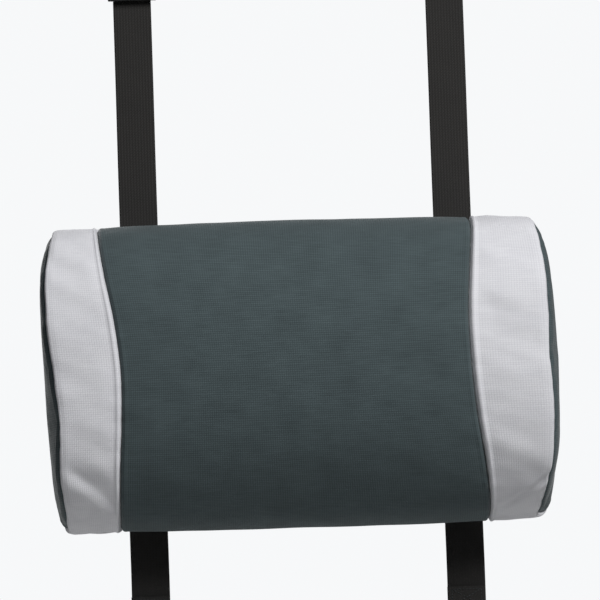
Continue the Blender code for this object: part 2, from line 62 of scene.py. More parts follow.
# Places taken from the frame.
HALF_WIDTH = corner("cover_end_right", 1, "x")
HALF_HEIGHT = corner("cover_centre_panel", 1, "z")
FRONT_Y = corner("cover_centre_panel", 0, "y")
BACK_Y = corner("cover_centre_panel", 1, "y")
SEAM_X = (corner("cover_centre_panel", 1, "x") + corner("cover_band_right", 0, "x")) / 2
BACK_CORNER = HALF_HEIGHT - corner("cover_back_upper", 1, "z") - 0.3 * MM
CREST_Y = BACK_Y - BACK_CORNER
REACH = CREST_Y - FRONT_Y
LINER_Y = corner("inner_liner", 1, "y")
STRAP_X = (corner("strap_right", 0, "x") + corner("strap_right", 1, "x")) / 2
GLIDE_Z = (corner("tri_glide_left", 0, "z") + corner("tri_glide_left", 1, "z")) / 2

# Cloth: thickness, the gap that two panels keep where they meet, and how full the foam fills it.
CLOTH = 1.2 * MM
PANEL_GAP = 0.04 * MM
FRONT_FULLNESS = 2.6

# The coarse grid that the stuffing is simulated on.
CHAIN = 72
WIDE_STEPS = 74
END_RINGS = 9
END_ROUND = 7 * MM
END_BULGE = 2 * MM
SWELL_FRAMES = 20
SWELL_PRESSURE = 4
SWELL_CAP = 7 * MM
END_SEAM = 1.5 * MM
TAUT_PASSES = 10

# How deep under the cover's outside the foam and its bag lie, and the bag's least distance from
# its place in the frame at the back.
FOAM_DEPTH = 2.7 * MM
BAG_DEPTH = 1.6 * MM
BAG_SLACK = 0.3 * MM

# Points nearer than this are one point.
MERGE_DISTANCE = 0.02 * MM

# Cells of the square of random values that the smooth noise is read from.
LATTICE = 64


# Grids and curves


def weights(count, spots, cyclic=False):
    """Catmull-Rom weights, one row for each fractional place on a line of count points."""
    low = np.floor(spots).astype(int)
    low = low if cyclic else np.clip(low, 0, count - 2)
    part = spots - low
    basis = [
        -part + 2 * part**2 - part**3,
        2 - 5 * part**2 + 3 * part**3,
        part + 4 * part**2 - 3 * part**3,
        -(part**2) + part**3,
    ]
    table = np.zeros((len(spots), count))
    for shift, share in zip((-1, 0, 1, 2), basis):
        at = low + shift
        at = at % count if cyclic else np.clip(at, 0, count - 1)
        np.add.at(table, (np.arange(len(spots)), at), share / 2)
    return table


def smooth_through(values, spots):
    """A smooth curve through evenly spaced values, read at places from 0 to 1."""
    values = np.asarray(values, float)
    read = weights(len(values), np.clip(spots, 0, 1).ravel() * (len(values) - 1)) @ values
    return read.reshape(np.shape(spots))


def even_steps(line, count):
    """The same line as count + 1 points at equal steps of its length, and that length."""
    step = np.linalg.norm(np.diff(line, axis=0), axis=1)
    along = np.concatenate([[0], np.cumsum(step)])
    spots = np.linspace(0, along[-1], count + 1)
    return np.stack([np.interp(spots, along, part) for part in line.T], axis=1), along[-1]


def ease(value, low, high):
    """0 below low, 1 above high, and a smooth S between them."""
    part = np.clip((value - low) / (high - low), 0, 1)
    return part * part * (3 - 2 * part)


def hump(distance, width):
    """A bell that is 1 at distance 0 and dies away over its width."""
    return np.exp(-((distance / width) ** 2))


def wander(across, along, seed):
    """Smooth noise from -1 to 1: random values on a lattice, eased from each to the next."""
    table = np.random.default_rng(seed).uniform(-1, 1, (LATTICE, LATTICE))
    across, along = np.broadcast_arrays(across, along)
    column, row = np.floor(across).astype(int), np.floor(along).astype(int)
    right, up = (ease(part, 0, 1) for part in (across - column, along - row))
    left, beside = column % LATTICE, (column + 1) % LATTICE
    low, high = (
        table[left, at % LATTICE] * (1 - right) + table[beside, at % LATTICE] * right
        for at in (row, row + 1)
    )
    return low * (1 - up) + high * up


def unit(vectors):
    """The same vectors, each with a length of 1."""
    return vectors / np.maximum(np.linalg.norm(vectors, axis=-1, keepdims=True), 1e-12)


def normals(points):
    """Outward unit normals of a grid whose rows run down the front and columns run to +X."""
    down = np.gradient(points, axis=0)
    right = np.gradient(points, axis=1)
    return unit(np.cross(down, right))


# Meshes


def mesh_object(name, points, faces, uv=None, material=None):
    """An object at the origin from an array of points and one of four-sided faces."""
    mesh = bpy.data.meshes.new(name)
    faces = np.asarray(faces, np.int32)
    points = np.asarray(points, np.float32).ravel()
    mesh.vertices.add(len(points) // 3)
    mesh.vertices.foreach_set("co", points)
    mesh.loops.add(faces.size)
    mesh.loops.foreach_set("vertex_index", faces.ravel())
    mesh.polygons.add(len(faces))
    mesh.polygons.foreach_set("loop_start", np.arange(0, faces.size, faces.shape[1], dtype=np.int32))
    mesh.update(calc_edges=True)
    if uv is not None:
        layer = mesh.uv_layers.new(name="cloth")
        layer.uv.foreach_set("vector", np.asarray(uv, np.float32).ravel())
    mesh.shade_smooth()
    if material:
        mesh.materials.append(material)
    made = bpy.data.objects.new(name, mesh)
    bpy.context.scene.collection.objects.link(made)
    return made


def quads(rows, columns, round_rows=False, round_columns=False):
    """The faces of a grid as (row, column) pairs of corners, down, right, up."""
    last_row = rows if round_rows else rows - 1
    last_column = columns if round_columns else columns - 1
    row, column = np.meshgrid(np.arange(last_row), np.arange(last_column), indexing="ij")
    row, column = row.ravel(), column.ravel()
    rows_at = np.stack([row, row + 1, row + 1, row], axis=1)
    across = np.stack([column, column, column + 1, column + 1], axis=1)
    return rows_at, across


def grid_object(name, points, across, along, material, round_rows=False):
    """A surface from a grid of points. Its UVs are across and along, in metres, with no jump
    where the rows close into a ring, so along has one more value there."""
    rows, columns = points.shape[:2]
    rows_at, at = quads(rows, columns, round_rows)
    faces = rows_at % rows * columns + at
    uv = np.stack([across[at], along[rows_at]], axis=2)
    return mesh_object(name, points, faces, uv, material)


def merged(obj):
    """Closes seams and poles whose points lie in one place."""
    work = bmesh.new()
    work.from_mesh(obj.data)
    bmesh.ops.remove_doubles(work, verts=work.verts, dist=MERGE_DISTANCE)
    bmesh.ops.dissolve_degenerate(work, edges=work.edges, dist=MERGE_DISTANCE)
    work.to_mesh(obj.data)
    work.free()
    obj.data.shade_smooth()
    return obj


def walled(obj, thickness):
    """Gives a sheet its thickness on the inner side."""
    wall = obj.modifiers.new("thickness", "SOLIDIFY")
    wall.thickness = thickness
    wall.offset = -1
    return obj


def joined(name, objects):
    """One object out of several."""
    with bpy.context.temp_override(active_object=objects[0], selected_editable_objects=objects):
        bpy.ops.object.join()
    objects[0].name = name
    objects[0].data.name = name
    return objects[0]


def finished(obj, body, slot, *nodes):
    """The piece rides on its body and stands for CAD nodes, which are hidden. Its slot is not used."""
    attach(obj, body)
    if nodes:
        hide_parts(*nodes)
    return obj


# Materials


def linear(hex_colour):
    """An sRGB hex colour as linear red, green, blue and alpha."""
    parts = [int(hex_colour[at : at + 2], 16) / 255 for at in (1, 3, 5)]
    return [c / 12.92 if c <= 0.04045 else ((c + 0.055) / 1.055) ** 2.4 for c in parts] + [1.0]


def add(tree, kind, inputs=(), out=0, **settings):
    """Adds a node with its settings, fills its inputs from sockets or values, by name or in
    their order, and gives back the output that was asked for."""
    made = tree.nodes.new("ShaderNode" + kind)
    for key, value in settings.items():
        setattr(made, key, value)
    for key, value in inputs.items() if isinstance(inputs, dict) else enumerate(inputs):
        if isinstance(value, bpy.types.NodeSocket):
            tree.links.new(value, made.inputs[key])
        else:
            made.inputs[key].default_value = value
    return made.outputs[out]


def new_material(name, **settings):
    """A named material with its Principled shader's own values set."""
    material = bpy.data.materials.new(name)
    material.use_nodes = True
    shader = material.node_tree.nodes["Principled BSDF"]
    for key, value in settings.items():
        shader.inputs[key.replace("_", " ")].default_value = value
    return material, material.node_tree, shader


def surface(shader, tone, dark, light, height, strength, depth):
    """The end of every finish: a colour that goes from dark to light as the tone goes from 0 to
    1, and a relief that follows the height, to a depth in metres."""
    tree = shader.id_data
    shades = {"Factor": tone, "A": linear(dark), "B": linear(light)}
    colour = add(tree, "Mix", shades, "Result", data_type="RGBA")
    bump = add(tree, "Bump", {"Height": height, "Strength": strength, "Distance": depth})
    tree.links.new(colour, shader.inputs["Base Color"])
    tree.links.new(bump, shader.inputs["Normal"])


def woven_cloth(name, dark, light, thread, gap_shade, sheen, slub):
    """Plain-woven polyester. Each thread is a rounded ridge that goes over and under the next, and the
    gaps between threads are painted darker, as shade.
    """
    material, tree, shader = new_material(
        name, Roughness=0.88, Sheen_Weight=sheen, Sheen_Roughness=0.45, Specular_IOR_Level=0.25
    )
    cloth = add(tree, "UVMap", uv_map="cloth")
    threads = add(tree, "VectorMath", {0: cloth, "Scale": math.pi / thread}, operation="SCALE")
    across, along, _ = add(tree, "SeparateXYZ", [threads]).node.outputs
    warp = add(tree, "Math", [across], operation="SINE")
    weft = add(tree, "Math", [along], operation="SINE")
    # The weave shows as a chequer: the warp lies on top in one square and the weft in the next.
    over = add(tree, "Math", [warp, weft], operation="MULTIPLY")
    over = add(tree, "Math", [over, 0.0], operation="GREATER_THAN")
    warp = add(tree, "Math", [warp], operation="ABSOLUTE")
    weft = add(tree, "Math", [weft], operation="ABSOLUTE")
    top = add(tree, "Mix", {"Factor": over, "A": weft, "B": warp})
    both = add(tree, "Math", [warp, weft, top], operation="MULTIPLY_ADD")
    height = add(tree, "Math", [both, 0.5], operation="MULTIPLY")
    # Slubs are longer than they are thick, so they streak along the weft.
    streak = add(tree, "Mapping", {"Vector": cloth, "Scale": (1 / (9 * thread), 1 / thread, 1)})
    slubs = add(tree, "TexNoise", {"Vector": streak, "Scale": 1.0, "Detail": 2.0})
    # Rubbed and shaded patches, 5 to 30 mm across.
    patches = add(tree, "TexNoise", {"Vector": cloth, "Scale": 45.0, "Detail": 4.0})
    tone = add(tree, "Math", [patches, 0.35], operation="MULTIPLY")
    tone = add(tree, "Math", [slubs, slub, tone], operation="MULTIPLY_ADD")
    # Painted shade: the threads' crowns are painted lighter and the gaps between them darker, by the
    # weave's height.
    tone = add(tree, "Math", [height, gap_shade, tone], operation="MULTIPLY_ADD")
    tone = add(tree, "MapRange", {0: tone, 1: 0.15, 2: 0.25 + gap_shade + slub})
    rise = add(tree, "Math", [slubs, 0.6, height], operation="MULTIPLY_ADD")
    surface(shader, tone, dark, light, rise, 0.4, 0.25 * MM)
    return material


def webbing_finish(name, dark, light, pick):
    """Woven webbing or tape: weft picks cross each rib aslant, so they read as fine chevrons, with painted
    shade in the grooves between picks.
    """
    material, tree, shader = new_material(
        name, Roughness=0.72, Sheen_Weight=0.12, Sheen_Roughness=0.5, Specular_IOR_Level=0.35
    )
    cloth = add(tree, "UVMap", uv_map="cloth")
    across, along, _ = add(tree, "SeparateXYZ", [cloth]).node.outputs
    across = add(tree, "Math", [across], operation="ABSOLUTE")
    rib = add(tree, "Math", [across, 1 * MM], operation="PINGPONG")
    slant = add(tree, "Math", [rib, 0.8, along], operation="MULTIPLY_ADD")
    slant = add(tree, "Math", [slant, math.pi / pick], operation="MULTIPLY")
    picks = add(tree, "Math", [slant], operation="SINE")
    picks = add(tree, "Math", [picks], operation="ABSOLUTE")
    # Fuzz half a millimetre across dulls the picks, and worn patches pale the whole.
    fuzz = add(tree, "TexNoise", {"Vector": cloth, "Scale": 1 / (0.5 * MM), "Detail": 3.0})
    worn = add(tree, "TexNoise", {"Vector": cloth, "Scale": 60.0, "Detail": 3.0})
    tone = add(tree, "Math", [worn, 0.35], operation="MULTIPLY")
    tone = add(tree, "Math", [fuzz, 0.4, tone], operation="MULTIPLY_ADD")
    # Painted shade: the picks' crowns are painted lighter and the grooves between them darker.
    tone = add(tree, "Math", [picks, 0.5, tone], operation="MULTIPLY_ADD")
    tone = add(tree, "MapRange", {0: tone, 1: 0.2, 2: 1.15})
    rise = add(tree, "Math", [fuzz, 0.5, picks], operation="MULTIPLY_ADD")
    surface(shader, tone, dark, light, rise, 0.55, 0.2 * MM)
    return material


def thread_finish():
    """Bonded polyester sewing thread: a slight sheen and a fine twist."""
    material, tree, shader = new_material("bonded_polyester_thread", Roughness=0.5, Specular_IOR_Level=0.4)
    place = add(tree, "TexCoord", out="Object")
    twist = add(tree, "TexNoise", {"Vector": place, "Scale": 2600.0, "Detail": 2.0})
    surface(shader, twist, "#1d2021", "#4a4f51", twist, 0.4, 0.06 * MM)
    return material


def smooth_finish(name, base, roughness, metallic, grain, vary, depth):
    """Moulded plastic, nylon or lacquered metal: an even colour that pales a little in rubbed
    patches, a gloss that varies with them, and a fine eroded grain."""
    material, tree, shader = new_material(name, Metallic=metallic)
    place = add(tree, "TexCoord", out="Object")
    worn = add(tree, "TexNoise", {"Vector": place, "Scale": 140.0, "Detail": 5.0})
    pits = add(tree, "TexNoise", {"Vector": place, "Scale": grain, "Detail": 2.0})
    pale = "#" + "".join(f"{min(255, int(base[at : at + 2], 16) + 20):02x}" for at in (1, 3, 5))
    tone = add(tree, "MapRange", {0: worn, 1: 0.4, 2: 0.75})
    gloss = add(tree, "MapRange", {0: worn, 3: roughness - vary / 2, 4: roughness + vary})
    tree.links.new(gloss, shader.inputs["Roughness"])
    surface(shader, tone, base, pale, pits, 0.35, depth)
    return material


def spunbond_finish():
    """Spunbond polypropylene: matted fibres with a grid of small pressed bond points."""
    material, tree, shader = new_material("spunbond_polypropylene", Roughness=0.8, Specular_IOR_Level=0.3)
    cloth = add(tree, "UVMap", uv_map="cloth")
    dots = add(tree, "TexVoronoi", {"Vector": cloth, "Scale": 1 / (2.2 * MM), "Randomness": 0.0})
    fibres = add(tree, "TexNoise", {"Vector": cloth, "Scale": 900.0, "Detail": 5.0})
    rise = add(tree, "MapRange", {0: dots, 1: 0.1, 2: 0.35})
    rise = add(tree, "Math", [rise, fibres], operation="ADD")
    surface(shader, fibres, "#d5d5cf", "#efefea", rise, 1.0, 0.2 * MM)
    return material


def foam_finish():
    """Cut open-cell polyurethane foam: cells about 1 mm across, drawn at their real size, with painted
    shade in their pits.
    """
    material, tree, shader = new_material("open_cell_polyurethane_foam", Roughness=0.95)
    place = add(tree, "TexCoord", out="Object")
    cells = add(tree, "TexVoronoi", {"Vector": place, "Scale": 1 / (1.0 * MM)})
    patches = add(tree, "TexNoise", {"Vector": place, "Scale": 30.0, "Detail": 3.0})
    # Painted shade: each cell's pit is painted darker and its walls lighter.
    tone = add(tree, "Math", [cells, patches], operation="ADD")
    tone = add(tree, "Math", [tone, 0.6], operation="MULTIPLY")
    surface(shader, tone, "#cbb98a", "#efe3bd", cells, 0.8, 0.5 * MM)
    return material


# Stage


def area_light(name, place, target, size, power, spread_angle):
    """A soft square lamp that faces its target, with its beam's full angle in degrees."""
    lamp = bpy.data.lights.new(name, "AREA")
    lamp.size = size
    lamp.energy = power
    lamp.spread = math.radians(spread_angle)
    made = bpy.data.objects.new(name, lamp)
    made.location = place
    made.rotation_euler = (Vector(target) - Vector(place)).to_track_quat("-Z", "Y").to_euler()
    bpy.context.scene.collection.objects.link(made)


FLOOR_Z = -0.75
FLOOR_HALF = 6
# What the surroundings light with, and what the camera sees of them.
SKY_LIGHT = (0.06, 0.062, 0.066, 1)
SKY_SEEN = (0.93, 0.94, 0.95, 1)
VIEW_CENTRE = Vector((0, -0.03, 0.05))
VIEW_WIDTH = 0.407
VIEW_DISTANCE = 3.0
VIEW_AZIMUTH = -2.0
VIEW_ELEVATION = -5.0
VIEW_ROLL = 2.0


def make_stage():
    """Pale floor, soft light from above the front, and a camera straight before the cushion."""
    scene = bpy.context.scene
    scene.view_settings.view_transform = "Standard"
    world = bpy.data.worlds.new("studio")
    scene.world = world
    world.use_nodes = True
    tree = world.node_tree
    seen = add(tree, "LightPath", out="Is Camera Ray")
    shades = {"Factor": seen, "A": SKY_LIGHT, "B": SKY_SEEN}
    sky = add(tree, "Mix", shades, "Result", data_type="RGBA")
    tree.links.new(sky, tree.nodes["Background"].inputs["Color"])
    pale, _, _ = new_material("matt_pale_floor", Base_Color=(0.82, 0.82, 0.81, 1), Roughness=0.9)
    corners = [(x * FLOOR_HALF, y * FLOOR_HALF, FLOOR_Z) for x, y in ((-1, -1), (1, -1), (1, 1), (-1, 1))]
    floor = mesh_object("floor", corners, [(0, 1, 2, 3)], material=pale)
    area_light("key", (1.05, -1.6, 1.45), (0, -0.05, 0), 1.1, 9.3, 70)
    area_light("fill", (-1.2, -1.6, 1.0), (0, -0.05, 0), 1.4, 0.3, 90)
    area_light("rear", (-0.5, 1.9, 0.5), (0, 0, 0.05), 1.4, 9.0, 90)
    camera = bpy.data.cameras.new("camera")
    camera.lens = camera.sensor_width * VIEW_DISTANCE / VIEW_WIDTH
    camera.clip_end = 100
    made = bpy.data.objects.new("camera", camera)
    turn, lift = math.radians(VIEW_AZIMUTH), math.radians(VIEW_ELEVATION)
    back = Vector((math.sin(turn) * math.cos(lift), -math.cos(turn) * math.cos(lift), math.sin(lift)))
    made.location = VIEW_CENTRE + back * VIEW_DISTANCE
    aim = (-back).to_track_quat("-Z", "Y").to_matrix()
    made.rotation_euler = (aim @ Matrix.Rotation(math.radians(-VIEW_ROLL), 3, "Z")).to_euler()
    scene.collection.objects.link(made)
    scene.camera = made


# The cushion's form

# Edges and seams across the front, from the top to the foot, in millimetres from the middle.
LEFT_EDGE = [-168, -174, -174, -171, -168, -168, -164]
LEFT_SEAM = [-136, -132, -126, -122.5, -123, -125, -126]
RIGHT_SEAM = [116.5, 112.5, 109.5, 110, 113, 118.5, 123]
RIGHT_EDGE = [161, 165, 166, 166.5, 167.5, 165.5, 159]

# Folds in the cloth, each from a start (x, z) to an end, in millimetres on the front.
CREASE = ((124, -101), (168, -74))
LEFT_FOLD = ((-160, -62), (-128, -88))


def section_loop():
    """The cushion's section as (y, z) points, and the lengths of its two chains.

    The front chain is half a superellipse from the top crest down to the lower one. The back
    chain returns round a corner, up the flat back and round the other corner.
    """
    angle = np.linspace(math.pi / 2, -math.pi / 2, 400)
    power = 2 / FRONT_FULLNESS
    y = CREST_Y - np.cos(angle).clip(0) ** power * REACH
    z = np.sign(angle) * np.abs(np.sin(angle)) ** power * HALF_HEIGHT
    front, front_length = even_steps(np.stack([y, z], axis=1), CHAIN)
    turn = np.linspace(0, math.pi / 2, 40)
    y = CREST_Y + BACK_CORNER * np.sin(turn)
    z = HALF_HEIGHT - BACK_CORNER + BACK_CORNER * np.cos(turn)
    corner_line = np.stack([y, z], axis=1)
    back = np.concatenate([corner_line * (1, -1), corner_line[::-1]])
    back, back_length = even_steps(back, CHAIN)
    return np.concatenate([front[:-1], back[:-1]]), front_length, back_length


SECTION, FRONT_LENGTH, BACK_LENGTH = section_loop()
ROWS = len(SECTION)
# The row across the section from each row, at an end's middle line.
PAIR = -np.arange(ROWS) % ROWS
CORNER_ROWS = CHAIN * BACK_CORNER * math.pi / 2 / BACK_LENGTH


def arc_length(rows):
    """Distance along the section, from the top crest, at each fractional row."""
    front = np.minimum(rows, CHAIN) * FRONT_LENGTH / CHAIN
    back = np.maximum(rows - CHAIN, 0) * BACK_LENGTH / CHAIN
    below = np.minimum(rows, 0) * (BACK_LENGTH - FRONT_LENGTH) / CHAIN
    return front + back + below


def column_places():
    """Each coarse column's place across the width, how far its ring is inset and how far it has
    shrunk towards the end panel's middle line (1 is full size and 0 is that line)."""
    rings = np.linspace(0, 1, END_RINGS + 1)
    turn = np.radians([0, 30, 60])
    inner = np.linspace(HALF_WIDTH - END_ROUND, 0, WIDE_STEPS // 2 + 1)[:-1]
    bulged = HALF_WIDTH + END_BULGE * (1 - rings[:-1] ** 2)
    x = np.concatenate([bulged, HALF_WIDTH - END_ROUND * (1 - np.cos(turn)), inner])
    inset = np.concatenate([np.full(END_RINGS, END_ROUND), END_ROUND * (1 - np.sin(turn)), 0 * inner])
    shrink = np.concatenate([rings[:-1], np.ones(len(turn) + len(inner))])
    x = np.concatenate([-x, [0], x[::-1]])
    inset = np.concatenate([inset, [0], inset[::-1]])
    shrink = np.concatenate([shrink, [1], shrink[::-1]])
    return x, inset, shrink


COLUMN_X, COLUMN_INSET, COLUMN_SHRINK = column_places()
COLUMNS = len(COLUMN_X)


def front_view_x(x, z, forward):
    """Moves the straight columns to where the sewn seams and edges run, on the front only."""
    place = np.clip(0.5 - z / HALF_HEIGHT / 2, 0, 1)
    straight = [-HALF_WIDTH, -SEAM_X, SEAM_X, HALF_WIDTH]
    curves = [LEFT_EDGE, LEFT_SEAM, RIGHT_SEAM, RIGHT_EDGE]
    drawn = [
        forward * smooth_through(curve, place) * MM + (1 - forward) * flat
        for curve, flat in zip(curves, straight)
    ]
    moved = np.zeros_like(x)
    for low, high, new_low, new_high in zip(straight, straight[1:], drawn, drawn[1:]):
        inside = (x >= low) & (x <= high)
        share = (x - low) / (high - low)
        moved = np.where(inside, new_low + share * (new_high - new_low), moved)
    moved = np.where(x < -HALF_WIDTH, x + HALF_WIDTH + drawn[0], moved)
    return np.where(x > HALF_WIDTH, x - HALF_WIDTH + drawn[3], moved)


def flat_form():
    """The sewn cover before it is stuffed, as a grid: each ring is the section, inset at the ends,
    then shrunk towards a middle line so that each end closes."""
    y = SECTION[:, 0][:, None]
    z = SECTION[:, 1][:, None]
    height = (HALF_HEIGHT - COLUMN_INSET) / HALF_HEIGHT
    depth = np.where(y < CREST_Y, (REACH - COLUMN_INSET) / REACH, 1 - COLUMN_INSET / BACK_CORNER / 2)
    y = CREST_Y + (y - CREST_Y) * depth
    z = z * height
    row = np.arange(ROWS)
    share = np.cos(math.pi * row / CHAIN)[:, None]
    middle_z = share * HALF_HEIGHT * 0.5
    middle_y = (FRONT_Y + BACK_Y) / 2 + 0 * share
    y = middle_y + (y - middle_y) * COLUMN_SHRINK
    z = middle_z + (z - middle_z) * COLUMN_SHRINK
    forward = ease(SECTION[:, 0][:, None], BACK_Y, CREST_Y - 6 * MM)
    forward = 0.5 + (forward - 0.5) * COLUMN_SHRINK
    x = front_view_x(np.broadcast_to(COLUMN_X, y.shape), z, forward)
    return np.stack([x, y, z], axis=2)


def closed_faces():
    """Faces round the whole grid. The first and last columns are middle lines, where the front
    row and the back row of a pair are one point."""
    rows_at, at = quads(ROWS, COLUMNS, round_rows=True)
    rows_at = rows_at % ROWS
    end = (at == 0) | (at == COLUMNS - 1)
    rows_at = np.where(end & (rows_at > CHAIN), ROWS - rows_at, rows_at)
    return rows_at * COLUMNS + at


def stuffed(points):
    """The cover swollen by its foam: cloth under pressure, held along the back, no gravity.

    A point may move no further than the cap, and none may pass behind the flat back."""
    form = mesh_object("stuffing_trial", points, closed_faces())
    held = form.vertex_groups.new(name="held")
    flat = np.flatnonzero((points[:, :, 1] > BACK_Y - 0.5 * MM).ravel())
    held.add(flat.tolist(), 1.0, "REPLACE")
    cloth = form.modifiers.new("stuffing", "CLOTH")
    cloth.settings.quality = 6
    cloth.settings.use_pressure = True
    cloth.settings.uniform_pressure_force = SWELL_PRESSURE
    cloth.settings.effector_weights.gravity = 0
    cloth.settings.vertex_group_mass = "held"
    cloth.settings.tension_stiffness = 25
    cloth.settings.compression_stiffness = 25
    cloth.settings.shear_stiffness = 12
    cloth.settings.bending_stiffness = 2
    cloth.collision_settings.use_collision = False
    cloth.point_cache.frame_end = SWELL_FRAMES
    for step in range(1, SWELL_FRAMES + 1):
        bpy.context.scene.frame_set(step)
    seen = form.evaluated_get(bpy.context.evaluated_depsgraph_get())
    swollen = np.empty(points.size, np.float32)
    seen.data.vertices.foreach_get("co", swollen)
    bpy.context.scene.frame_set(1)
    bpy.data.objects.remove(form, do_unlink=True)
    swollen = swollen.reshape(points.shape).astype(float)
    # The unused back halves of the middle lines follow their front halves.
    back_half = np.arange(ROWS) > CHAIN
    for end in (0, COLUMNS - 1):
        swollen[back_half, end] = swollen[PAIR[back_half], end]
    move = swollen - points
    size = np.linalg.norm(move, axis=2, keepdims=True)
    move *= np.minimum(1, SWELL_CAP / np.maximum(size, 1e-9))
    # The wide panel is drawn taut, so its small buckles are evened out.
    even = move.copy()
    for _ in range(TAUT_PASSES):
        even = (2 * even + np.roll(even, 1, axis=0) + np.roll(even, -1, axis=0)) / 4
        even[:, 1:-1] = (2 * even[:, 1:-1] + even[:, :-2] + even[:, 2:]) / 4
    taut = 1 - ease(np.abs(COLUMN_X), SEAM_X - 14 * MM, SEAM_X + 2 * MM)
    move += (even - move) * taut[None, :, None]
    return points + move


def padded_ends(form):
    """The grid with one more ring at each end, mirrored over the middle line, so that a curve
    read along a row runs smoothly through it."""
    return np.concatenate([form[PAIR, 1:2], form, form[PAIR, -2:-1]], axis=1)


def read_form(form, rows, columns):
    """The swollen form at fractional rows and columns, by Catmull-Rom both ways."""
    grid = padded_ends(form)
    down = weights(ROWS, rows, cyclic=True)
    right = weights(COLUMNS + 2, columns + 1)
    return np.einsum("ia,abk,jb->ijk", down, grid, right, optimize=True)


def columns_at(x):
    """Fractional coarse columns of places across the straight width."""
    return np.interp(x, COLUMN_X, np.arange(COLUMNS))


def straight_x(columns):
    """Places across the cloth of fractional coarse columns: the straight width, and past its ends
    the way in over the end panel."""
    cloth = COLUMN_X + np.sign(COLUMN_X) * (1 - COLUMN_SHRINK) * REACH / 2
    return np.interp(columns, np.arange(COLUMNS), cloth)


# Relief of the sewn cloth


def seam_relief(distance, along, seed, rim):
    """How a seam shapes the cloth beside it: a wide pull, a narrow cut, a rolled rim on each
    side (rim is its height) and fine puckers across it. distance is 0 at the seam."""
    near = np.abs(distance)
    pull = -1.5 * MM * np.exp(-near / (6 * MM))
    cut = -1.9 * MM * hump(distance, 1.0 * MM)
    roll = rim * hump(near - 2.6 * MM, 1.5 * MM)
    pucker = 0.38 * MM * wander(near / (14 * MM), along / (6.5 * MM), seed) * np.exp(-near / (9 * MM))
    fine = 0.16 * MM * wander(near / (9 * MM), along / (2.8 * MM), seed + 1) * np.exp(-near / (4 * MM))
    return pull + cut + roll + pucker + fine


def fold_place(points, ends, start_fade, end_fade):
    """Distance below a straight fold on the front, in millimetres, and how far the fold holds:
    1 along it, fading in at its start and out past its end."""
    start, end = (np.array(spot, float) for spot in ends)
    length = np.linalg.norm(end - start)
    run = (end - start) / length
    across, up = points[:, :, 0] / MM - start[0], points[:, :, 2] / MM - start[1]
    onward = across * run[0] + up * run[1]
    held = ease(onward, -start_fade / 2, start_fade) * (1 - ease(onward, length - 2, length + end_fade))
    return across * run[1] - up * run[0], held


def cover_relief(x, along, points):
    """Height of the cloth over the swollen form, over the whole cover.

    x is the place across the straight width and along the place round the section."""
    relief = np.zeros(points.shape[:2])
    for index, sign in enumerate(SIDES.values()):
        outward = sign * x - SEAM_X
        rim = np.where(outward > 0, 1.0 * MM, 0.35 * MM)
        relief = relief + seam_relief(outward, along, 11 + index, rim)
        edge = sign * x - (HALF_WIDTH - END_SEAM)
        relief = relief + 0.6 * seam_relief(edge, along, 21 + index, 0.5 * MM)
    off_middle = np.abs(x)
    band = ease(off_middle, SEAM_X + 2 * MM, SEAM_X + 14 * MM)
    band = band * (1 - ease(off_middle, HALF_WIDTH - 10 * MM, HALF_WIDTH))
    # Shallow dents that run aslant, deeper on the bands than on the wide middle panel.
    slant = wander((x + 0.6 * along) / (34 * MM), (along - 0.5 * x) / (13 * MM), 5)
    relief = relief + slant * (0.3 + 0.9 * band) * MM * 0.8
    swell = wander(x / (70 * MM), along / (55 * MM), 8)
    relief = relief + swell * 0.7 * MM * (1 - 0.5 * band)
    front = ease(CREST_Y - points[:, :, 1], 0, 12 * MM)
    front = front * (1 - ease(off_middle, HALF_WIDTH - 5 * MM, HALF_WIDTH))
    # The crease across the right band's lower corner: a groove, with a slack facet below it.
    below, held = fold_place(points, CREASE, 6, 12)
    relief = relief - front * held * (2.4 * hump(below, 2.2) + 3.0 * ease(below, 0, 9)) * MM
    # A softer fold low on the left band.
    below, held = fold_place(points, LEFT_FOLD, 12, 4)
    return relief - front * held * (0.9 * hump(below, 3.5) - 0.5 * hump(below - 7, 4)) * MM


def spread(low, high, step, fine, near):
    """Places from low to high, a step apart, closing to a fine step near both ends."""
    wide = np.arange(math.ceil((high - low - 2 * near) / step) + 1)
    wide = low + near + wide / wide[-1] * (high - low - 2 * near)
    count = max(2, round(near / fine))
    close = np.linspace(0, near, count + 1)[:-1]
    return np.concatenate([low + close, wide, (high - close)[::-1]])


def outward(points, columns):
    """Normals that turn to point along X towards an end's middle line, where rows crowd."""
    full = np.interp(columns, np.arange(COLUMNS), COLUMN_SHRINK)
    steady = ease(full, 0.3, 0.75)[None, :, None]
    side = np.zeros_like(points)
    side[:, :, 0] = np.sign(straight_x(columns))
    return unit(normals(points) * steady + side * (1 - steady))


def cover_points(rows, columns, sunk=0.0):
    """The swollen form at those rows and columns with the sewn relief, sunk under its surface."""
    points = read_form(FORM, rows, columns)
    relief = cover_relief(straight_x(columns)[None, :], arc_length(rows)[:, None], points)
    # Relief dies out towards an end's middle line, where the front and back rows meet.
    relief = relief * ease(np.interp(columns, np.arange(COLUMNS), COLUMN_SHRINK), 0.15, 0.6)
    points = points + outward(points, columns) * (relief - sunk)[:, :, None]
    points[:, :, 1] = np.minimum(points[:, :, 1], BACK_Y)
    return points


def cloth_patch(name, material, rows, columns):
    """A panel of the cover, with UVs in metres."""
    points = cover_points(rows, columns)
    return walled(grid_object(name, points, straight_x(columns), arc_length(rows), material), CLOTH)


